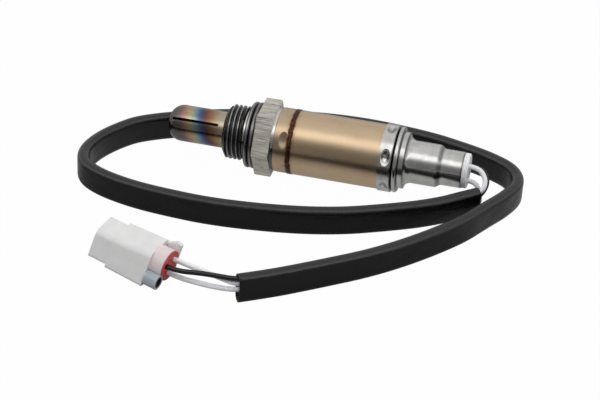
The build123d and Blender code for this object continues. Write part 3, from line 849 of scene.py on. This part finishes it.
# %% Finish: hexagon
hex_steel, tree, shader = start_finish("hex_steel", (0.45, 0.42, 0.38), 1.0, 0.42)
streaks = grain(tree, (0.10, 1.2, 1.2), 4, 0.65)
tears = spread(tree, grain(tree, (0.2, 1.7, 1.7), 3, 0.6), 0.56, 0.68)
bright = spread(tree, streaks, 0.3, 0.7)
steel = blend_colors(tree, bright, (0.36, 0.335, 0.295), (0.80, 0.76, 0.69))
steel = blend_colors(tree, sum_up(tree, "MULTIPLY", tears, 0.75), steel, (0.18, 0.165, 0.145))
tree.links.new(steel, shader.inputs["Base Color"])
tree.links.new(spread(tree, streaks, 0.3, 0.7, 0.42, 0.55), shader.inputs["Roughness"])
relief(tree, shader, sum_up(tree, "SUBTRACT", streaks, sum_up(tree, "MULTIPLY", tears, 0.5)), 0.12)
print("hexagon finish nodes", len(tree.nodes))

# %% [markdown]
# ## Turned steel beside the hexagon
# The relief behind the thread and the waist before the shield are turned bright. Their lower half
# is painted dark as painted shade, which one height along Z is enough to tell.

# %% Finish: waist and turned bright parts
waist_steel, tree, shader = start_finish("waist_steel", (0.58, 0.57, 0.55), 1.0, 0.2)
rings = grain(tree, (9, 0.2, 0.2), 3)
z = object_place(tree)["Z"]
# Painted shade: the lower half of the turned steel is painted dark.
shade_edge = sum_up(tree, "MULTIPLY_ADD", grain(tree, (0.3, 0.5, 0.5), 3), 2.0 * MM, z)
lower_half_shade = spread(tree, shade_edge, 16.5 * MM, 12.5 * MM)
turned = blend_colors(tree, lower_half_shade, (0.62, 0.60, 0.57), (0.13, 0.135, 0.13))
tree.links.new(turned, shader.inputs["Base Color"])
tree.links.new(spread(tree, rings, 0.3, 0.7, 0.12, 0.24), shader.inputs["Roughness"])
relief(tree, shader, rings, 0.008)
print("waist finish nodes", len(tree.nodes))

# %% [markdown]
# ## Gasket ring
# The gasket is rolled from thin strip. Its folds are painted dark as painted shade and its outer
# edge bright as a painted highlight; the radius places both, and fine rings of noise give the turns
# of the strip.

# %% Finish: gasket
gasket_steel, tree, shader = start_finish("gasket_steel", grey(0.3), 1.0, 0.28)
rings = grain(tree, (3.5, 0.12, 0.12), 3)
# Painted shade in the folds and a painted highlight on the outer edge.
gasket_shade_and_highlight = color_scale(
    tree,
    radius_of(tree),
    9.8,
    11.0,
    [
        (10.0, (0.04, 0.04, 0.042)),
        (10.7, grey(0.055)),
        (10.85, grey(0.13)),
        (10.9, (0.42, 0.41, 0.40)),
    ],
)
gasket_shade_and_highlight = blend_colors(tree, spread(tree, rings, 0.45, 0.6, 0, 0.65), gasket_shade_and_highlight, grey(0.05))
tree.links.new(gasket_shade_and_highlight, shader.inputs["Base Color"])
tree.links.new(spread(tree, rings, 0.3, 0.7, 0.24, 0.36), shader.inputs["Roughness"])
relief(tree, shader, rings, 0.05)
print("gasket finish nodes", len(tree.nodes))

# %% [markdown]
# ## Bronze coloured heat shield
# The shield is a drawn stainless tube with a baked bronze tint. Brushing runs round it, and the
# laser weld that joins it to the body leaves a dark, crusted ring with a warm halo. The distance
# from the weld's station, made ragged by noise, drives all three.

# %% Finish: heat shield
weld_station = 11.8
shield_steel, tree, shader = start_finish("shield_steel", (0.5, 0.4, 0.3), 1.0, 0.3)
station = station_of(tree)
brush = grain(tree, (7, 0.12, 0.12), 4, 0.6)
cloud = grain(tree, (0.12, 0.2, 0.2), 3)
tint = blend_colors(tree, spread(tree, cloud, 0.3, 0.7), (0.55, 0.41, 0.265), (0.60, 0.46, 0.31))
tint = blend_colors(tree, spread(tree, brush, 0.3, 0.7, 0, 0.2), tint, (0.46, 0.34, 0.22))
weld_wobble = spread(tree, grain(tree, (0.4, 0.8, 0.8), 4), 0, 1, -0.45, 0.45)
ragged_station = sum_up(tree, "ADD", station, weld_wobble)
from_weld = sum_up(tree, "ABSOLUTE", sum_up(tree, "SUBTRACT", ragged_station, weld_station))
crust = spread(tree, from_weld, 0.65, 1.05, 1, 0)
halo = spread(tree, from_weld, 0.9, 2.0, 0.6, 0)
front_haze = spread(tree, ragged_station, 11.4, 10.2, 0, 0.35)
tint = blend_colors(tree, front_haze, tint, (0.36, 0.27, 0.19))
tint = blend_colors(tree, halo, tint, (0.42, 0.22, 0.13))
mottle = grain(tree, (1.5, 1.0, 1.0), 5)
crust_mottle = spread(tree, mottle, 0.35, 0.65)
crust_color = blend_colors(tree, crust_mottle, (0.03, 0.014, 0.010), (0.11, 0.055, 0.035))
tint = blend_colors(tree, crust, tint, crust_color)
tree.links.new(tint, shader.inputs["Base Color"])
rough = spread(tree, brush, 0.3, 0.7, 0.27, 0.33)
tree.links.new(sum_up(tree, "MULTIPLY_ADD", crust, 0.18, rough), shader.inputs["Roughness"])
weld_height = sum_up(tree, "MULTIPLY", crust, sum_up(tree, "MULTIPLY", mottle, 0.072))
shield_height = sum_up(tree, "MULTIPLY_ADD", brush, 0.0002, weld_height)
dents = dent_bowl(tree, shield_dent_station, shield_dent_radius)
relief(tree, shader, sum_up(tree, "MULTIPLY_ADD", dents, -shield_dent_depth, shield_height), 1.0)
print("shield finish nodes", len(tree.nodes))

# %% [markdown]
# ## Bright rear cap
# The cap is pressed in steps from thin stainless sheet and left bright. Handling leaves soft
# smudges, and the roots of its rolled bead and the steps behind its collar are painted dark as
# painted shade.

# %% Finish: bright rear cap
cap_steel, tree, shader = start_finish("cap_steel", (0.58, 0.57, 0.55), 1.0, 0.24)
brush = grain(tree, (8, 0.15, 0.15), 4)
smudge = grain(tree, (0.35, 0.35, 0.35), 4)
dulled = spread(tree, smudge, 0.35, 0.7)
drawn = blend_colors(tree, dulled, (0.60, 0.595, 0.58), (0.47, 0.465, 0.45))
# Painted shade: darker rings in the grooves of the bead, the neck and behind the collar.
groove_shade_levels = (
    (45.1, 1.0),
    (45.5, 0.10),
    (45.85, 0.25),
    (46.1, 1.0),
    (47.0, 1.0),
    (47.3, 0.10),
    (47.55, 0.2),
    (47.7, 1.0),
    (48.9, 1.0),
    (49.15, 0.22),
    (49.5, 0.7),
    (50.0, 1.0),
    (59.2, 1.0),
    (60.0, 0.45),
    (60.6, 0.40),
    (61.2, 1.0),
    (67.1, 1.0),
    (67.5, 0.3),
)
groove_shade_stops = [(at, grey(level)) for at, level in groove_shade_levels]
groove_shade = color_scale(tree, station_of(tree), 40, 70, groove_shade_stops)
tree.links.new(blend_colors(tree, 1.0, drawn, groove_shade, "MULTIPLY"), shader.inputs["Base Color"])
brushed = spread(tree, brush, 0.3, 0.7, 0.16, 0.2)
smudged = spread(tree, smudge, 0.4, 0.7, 0, 0.05)
tree.links.new(sum_up(tree, "ADD", brushed, smudged), shader.inputs["Roughness"])
dents = dent_bowl(tree, cap_dent_station, cap_dent_radius)
smudge_height = sum_up(tree, "MULTIPLY", smudge, 0.003)
relief(tree, shader, sum_up(tree, "MULTIPLY_ADD", dents, -cap_dent_depth, smudge_height), 1.0)
print("cap finish nodes", len(tree.nodes))

# %% [markdown]
# ## Springs
# The washer, the crush ring, the disc spring and the spring sleeve are out of sight inside, but
# they show when the part is taken apart. Plain spring steel with a faint relief is enough.

# %% Finish: springs and other plain steel inside
spring_steel, tree, shader = start_finish("spring_steel", (0.55, 0.55, 0.56), 1.0, 0.3)
relief(tree, shader, grain(tree, (2, 2, 2)), 0.01)
print("spring finish nodes", len(tree.nodes))

# %% [markdown]
# ## Ceramics
# Fired ceramics are dull and faintly grainy. The sensing thimble is painted near black as painted
# shade inside the probe; the powder and the insulators are pale, so one loop makes all four and
# only the colour changes.

# %% Finish: ceramics
ceramics = {}
for name, color in (
    # Painted shade: the thimble's near-black colour stands in for the shade inside the probe.
    ("sensor_ceramic", (0.05, 0.045, 0.04)),
    ("packing_powder", (0.55, 0.53, 0.48)),
    ("insulator_ceramic", (0.72, 0.69, 0.62)),
    ("heater_ceramic", (0.66, 0.64, 0.60)),
):
    ceramics[name], tree, shader = start_finish(name, color, 0.0, 0.55)
    relief(tree, shader, grain(tree, (3, 3, 3)), 0.02)
print("ceramics", list(ceramics))

# %% [markdown]
# ## Contact metal
# Terminals and the contact clip are stamped from plated copper alloy, yellow and fairly bright.

# %% Finish: contact metal
contact_metal, tree, shader = start_finish("contact_metal", (0.66, 0.56, 0.36), 1.0, 0.3)
relief(tree, shader, grain(tree, (2, 2, 2)), 0.01)
print("contact finish nodes", len(tree.nodes))

# %% [markdown]
# ## White grommet
# The grommet is a waxy white fluoroplastic that light enters a little, so it gets a shallow
# subsurface glow. Faint grime breaks up its white.

# %% Finish: white grommet
grommet_white, tree, shader = start_finish("grommet_white", (0.72, 0.70, 0.68), 0.0, 0.38)
shader.inputs["Subsurface Weight"].default_value = 0.25
shader.inputs["Subsurface Radius"].default_value = (0.0015, 0.0012, 0.001)
grime = grain(tree, (0.8, 0.8, 0.8), 4)
tree.links.new(
    blend_colors(tree, spread(tree, grime, 0.45, 0.75), (0.89, 0.90, 0.92), (0.76, 0.765, 0.78)),
    shader.inputs["Base Color"],
)
relief(tree, shader, grain(tree, (1.5, 1.5, 1.5)), 0.03)
print("grommet finish nodes", len(tree.nodes))

# %% [markdown]
# ## Wires
# Two wires are white for the heater and one is black for the signal. The white insulation is
# satin, the black one is glossy and catches a thin line of light along its top.

# %% Finish: wires
wire_white, tree, shader = start_finish("wire_white", (0.89, 0.895, 0.93), 0.0, 0.36)
relief(tree, shader, grain(tree, (1.2, 1.2, 1.2)), 0.02)
wire_black, tree, shader = start_finish("wire_black", grey(0.002), 0.0, 0.06)
shader.inputs["IOR"].default_value = 1.5
relief(tree, shader, grain(tree, (0.3, 0.3, 0.3)), 0.004)
print("wire finish nodes", len(tree.nodes))

# %% [markdown]
# ## Black sleeving
# The flat sleeve is soft plastic tube, satin rather than shiny. Its top edge is painted a little
# grey as a painted highlight and its lower edge a little lighter as a painted floor reflection, and
# a faint grain runs all over it. Height along Z finds both edges, because the sleeve stands upright
# all the way.

# %% Finish: sleeve
sleeve_black, tree, shader = start_finish("sleeve_black", grey(0.005), 0.0, 0.42)
shader.inputs["Specular IOR Level"].default_value = 0.34
pebble = grain(tree, (2.2, 2.2, 2.2), 4, 0.65)
slack = grain(tree, (0.10, 0.10, 0.3), 3)
z = object_place(tree)["Z"]
# Painted highlight: a lighter band along the sleeve's top edge.
painted_top_sheen = color_scale(
    tree,
    z,
    7.0 * MM,
    9.6 * MM,
    [
        (7.3 * MM, grey(0.0025)),
        (8.2 * MM, grey(0.005)),
        (8.6 * MM, grey(0.014)),
        (8.85 * MM, (0.042, 0.042, 0.043)),
        (9.1 * MM, (0.046, 0.046, 0.047)),
        (9.35 * MM, (0.026, 0.026, 0.027)),
        (9.5 * MM, (0.022, 0.022, 0.023)),
    ],
)
pits = spread(tree, pebble, 0.35, 0.65, 0.35, 0.0)
black = blend_colors(tree, pits, painted_top_sheen, grey(0.0025))
# Painted reflection of the floor: the lower edge is lighter.
floor_reflection_edge = spread(tree, z, 1.8 * MM, 0.3 * MM, 0, 0.6)
black = blend_colors(tree, floor_reflection_edge, black, (0.03, 0.028, 0.026))
tree.links.new(black, shader.inputs["Base Color"])
tree.links.new(spread(tree, pebble, 0.3, 0.7, 0.24, 0.36), shader.inputs["Roughness"])
relief(tree, shader, sum_up(tree, "MULTIPLY_ADD", slack, 9.0, pebble), 0.035)
print("sleeve finish nodes", len(tree.nodes))

# %% [markdown]
# ## Plug: its own directions
# The plug lies tilted and turned on the bench. To colour its rear barrels, the finish has to know
# how far a point lies along and across the plug, so the plug's three directions come first.

# %% Plug: directions
plug_rear = place(-27.28, -74.29, 6.3)
plug_heading = math.radians(-14.5)
plug_lift = math.radians(8)
plug_roll = math.radians(4)
plug_along = Vector(
    (
        math.cos(plug_heading) * math.cos(plug_lift),
        math.sin(plug_heading) * math.cos(plug_lift),
        -math.sin(plug_lift),
    )
)
level_side = Vector((-math.sin(plug_heading), math.cos(plug_heading), 0))
plug_side = math.cos(plug_roll) * level_side - math.sin(plug_roll) * plug_along.cross(level_side)
plug_top = plug_along.cross(plug_side)
print("plug axes", [round(v, 3) for v in (*plug_along, *plug_side, *plug_top)])


def plug_distance(tree, direction):
    """How far a point lies from the plug's rear along one of its directions, in millimetres."""
    dot = put(tree, "ShaderNodeVectorMath", operation="DOT_PRODUCT")
    tree.links.new(object_point(tree), dot.inputs[0])
    dot.inputs[1].default_value = direction
    start = plug_rear.dot(direction) / MM
    return sum_up(tree, "MULTIPLY_ADD", dot.outputs["Value"], 1 / MM, -start)


def ring_distance(tree, centre):
    """Distance of a point from a line along the plug that passes a place across it."""
    off_side = sum_up(tree, "SUBTRACT", plug_distance(tree, plug_side), centre[0])
    off_top = sum_up(tree, "SUBTRACT", plug_distance(tree, plug_top), centre[1])
    return sum_up(tree, "SQRT", sum_of_squares(tree, off_side, off_top))


print("plug's rear at", [round(v, 4) for v in plug_rear])

# %% [markdown]
# ## Plug: milky nylon
# Natural nylon is milky and lets light in. The red seal shines pink through the thin barrel round
# it, and the unused barrel looks blue-grey over its black stopper.

# %% Finish: plug
barrels_from = (-5.2, -4.2)
seal_centre = (0, 0)
seal_edge = (5.3, 5.0)
spare_centre = (-5.25, -3.45)
spare_edge = (2.7, 2.5)
plug_nylon, tree, shader = start_finish("plug_nylon", (0.84, 0.83, 0.82), 0.0, 0.30)
shader.inputs["Subsurface Weight"].default_value = 0.35
shader.inputs["Subsurface Radius"].default_value = (0.003, 0.0026, 0.0024)
shader.inputs["Subsurface Scale"].default_value = 0.5
milk = grain(tree, (0.25, 0.25, 0.25), 3)
nylon = blend_colors(tree, spread(tree, milk, 0.3, 0.7), (0.74, 0.745, 0.74), (0.81, 0.81, 0.805))
behind = spread(tree, plug_distance(tree, plug_along), *barrels_from)
seal_barrel = spread(tree, ring_distance(tree, seal_centre), *seal_edge, 0, 0.8)
blush = sum_up(tree, "MULTIPLY", behind, seal_barrel)
nylon = blend_colors(tree, blush, nylon, (0.82, 0.66, 0.67))
spare_barrel = spread(tree, ring_distance(tree, spare_centre), *spare_edge, 0, 1)
shade = sum_up(tree, "MULTIPLY", behind, spare_barrel)
nylon = blend_colors(tree, shade, nylon, (0.40, 0.45, 0.50))
tree.links.new(nylon, shader.inputs["Base Color"])
relief(tree, shader, grain(tree, (0.7, 0.7, 0.7)), 0.03)
print("plug finish nodes", len(tree.nodes))

# %% [markdown]
# ## Seal and stopper
# Both are soft moulded rubber: a red silicone seal round the three wires and a black stopper in
# the way that has no wire.

# %% Finish: seal and stopper
seal_red, tree, shader = start_finish("seal_red", (0.55, 0.06, 0.05), 0.0, 0.45)
relief(tree, shader, grain(tree, (2, 2, 2)), 0.02)
stopper_black, tree, shader = start_finish("stopper_black", grey(0.012), 0.0, 0.5)
relief(tree, shader, grain(tree, (2, 2, 2)), 0.02)
print("stopper finish nodes", len(tree.nodes))

# %% [markdown]
# ## Every piece gets its finish
# The record says which material each solid is made of. A table from those names to the finishes
# dresses all solids in one loop, and the pieces made here get theirs by hand.

# %% Every piece gets its finish
finishes = {
    "tube_steel": probe_steel,
    "body_steel": hex_steel,
    "gasket_steel": gasket_steel,
    "shield_steel": shield_steel,
    "cap_steel": cap_steel,
    "spring_steel": spring_steel,
    "contact_metal": contact_metal,
    "grommet_white": grommet_white,
    "wire_white": wire_white,
    "wire_black": wire_black,
    "sleeve_black": sleeve_black,
    "plug_nylon": plug_nylon,
    "seal_red": seal_red,
    "stopper_black": stopper_black,
    **ceramics,
}
for part in frame["record"]["subparts"]:
    node = nodes[part["node"]]
    node.data.materials.clear()
    node.data.materials.append(finishes[part["material_slot"]])
for finish in (thread_steel, hex_steel, waist_steel):
    body.data.materials.append(finish)
sleeve.data.materials.append(sleeve_black)
grommet.data.materials.append(grommet_white)
for name, wire in wires.items():
    wire_slot = "wire_black" if name == "wire_signal" else "wire_white"
    wire.data.materials.append(finishes[wire_slot])
print("finishes", len(finishes))

# %% [markdown]
# ## Studio: room
# One long soft box hangs in front of and above the sensor, with a darker room below it, so that
# each round metal part shows a bright band and a dark one. Area lamps would do as well, but the
# room's own glow gives the metal soft, even bands. To the camera the room is plain white.

# %% Studio: room
room = bpy.data.worlds.new("studio")
room.use_nodes = True
tree = room.node_tree
background = tree.nodes["Background"]
direction = put(tree, "ShaderNodeSeparateXYZ")
tree.links.new(put(tree, "ShaderNodeTexCoord").outputs["Generated"], direction.inputs[0])
toward_front = sum_up(tree, "MULTIPLY", direction.outputs[1], -1.0)
lean = sum_up(tree, "ARCTAN2", toward_front, direction.outputs[2])
lean = sum_up(tree, "MULTIPLY", lean, 180 / math.pi)
room_levels = (
    (-170, 0.5),
    (-100, 0.55),
    (-77, 0.74),
    (-57, 0.72),
    (-30, 0.86),
    (0, 0.92),
    (12, 1.0),
    (42, 1.0),
    (50, 0.42),
    (60, 0.24),
    (95, 0.19),
    (170, 0.5),
)
box_rear_edge = (8, 18)
box_front_edge = (34, 43)
box_extra = 0.75
glow = color_scale(tree, lean, -180, 180, [(at, grey(level)) for at, level in room_levels])
box_light = spread(tree, lean, *box_rear_edge, 0, 1)
box_light = sum_up(tree, "MULTIPLY", box_light, spread(tree, lean, *box_front_edge, 1, 0))
strength = sum_up(tree, "MULTIPLY_ADD", box_light, box_extra, 1.0)
rays = put(tree, "ShaderNodeLightPath")
seen = rays.outputs["Is Camera Ray"]
tree.links.new(blend_colors(tree, seen, glow, grey(1)), background.inputs["Color"])
strength = sum_up(tree, "MULTIPLY", strength, sum_up(tree, "SUBTRACT", 1.0, seen))
tree.links.new(sum_up(tree, "ADD", strength, seen), background.inputs["Strength"])
bpy.context.scene.world = room
bpy.context.scene.view_settings.view_transform = "Standard"
print("room nodes", len(tree.nodes))

# %% [markdown]
# ## Studio: floor
# The floor is pale and matt. Seen directly it is nearly white with a trace of shadow, and in metal
# it is mirrored bright close to the sensor and dark further out.

# %% Studio: floor
floor_half = 1.5
floor_plainness = 0.982
near_side, near_level = 14, 0.38
far_side, far_level = 30, 0.05
floor_mesh = bpy.data.meshes.new("floor")
floor_signs = ((-1, -1), (1, -1), (1, 1), (-1, 1))
floor_corners = [(x * floor_half, y * floor_half, 0) for x, y in floor_signs]
floor_mesh.from_pydata(floor_corners, [], [(0, 1, 2, 3)])
floor = bpy.data.objects.new("floor", floor_mesh)
bpy.context.scene.collection.objects.link(floor)
floor_white, tree, shader = start_finish("floor_white", grey(0.36), 0.0, 0.8)
output = tree.nodes["Material Output"]
glow_node = put(tree, "ShaderNodeEmission")
glow_node.inputs["Color"].default_value = (1, 1, 1, 1)
glow_node.inputs["Strength"].default_value = 1.0
rays = put(tree, "ShaderNodeLightPath")
glossy, through = rays.outputs["Is Glossy Ray"], rays.outputs["Is Transmission Ray"]
mirrored = sum_up(tree, "MAXIMUM", glossy, through)
aside = sum_up(tree, "ABSOLUTE", object_place(tree)["Y"])
below = spread(tree, aside, near_side * MM, far_side * MM, near_level, far_level)
mirrored = sum_up(tree, "MULTIPLY", mirrored, below)
plain = sum_up(tree, "MULTIPLY", rays.outputs["Is Camera Ray"], floor_plainness)
shows = sum_up(tree, "MAXIMUM", mirrored, plain)
mix = put(tree, "ShaderNodeMixShader")
tree.links.new(shows, mix.inputs[0])
tree.links.new(shader.outputs[0], mix.inputs[1])
tree.links.new(glow_node.outputs[0], mix.inputs[2])
tree.links.new(mix.outputs[0], output.inputs["Surface"])
floor.data.materials.append(floor_white)
print("floor side", 2 * floor_half)
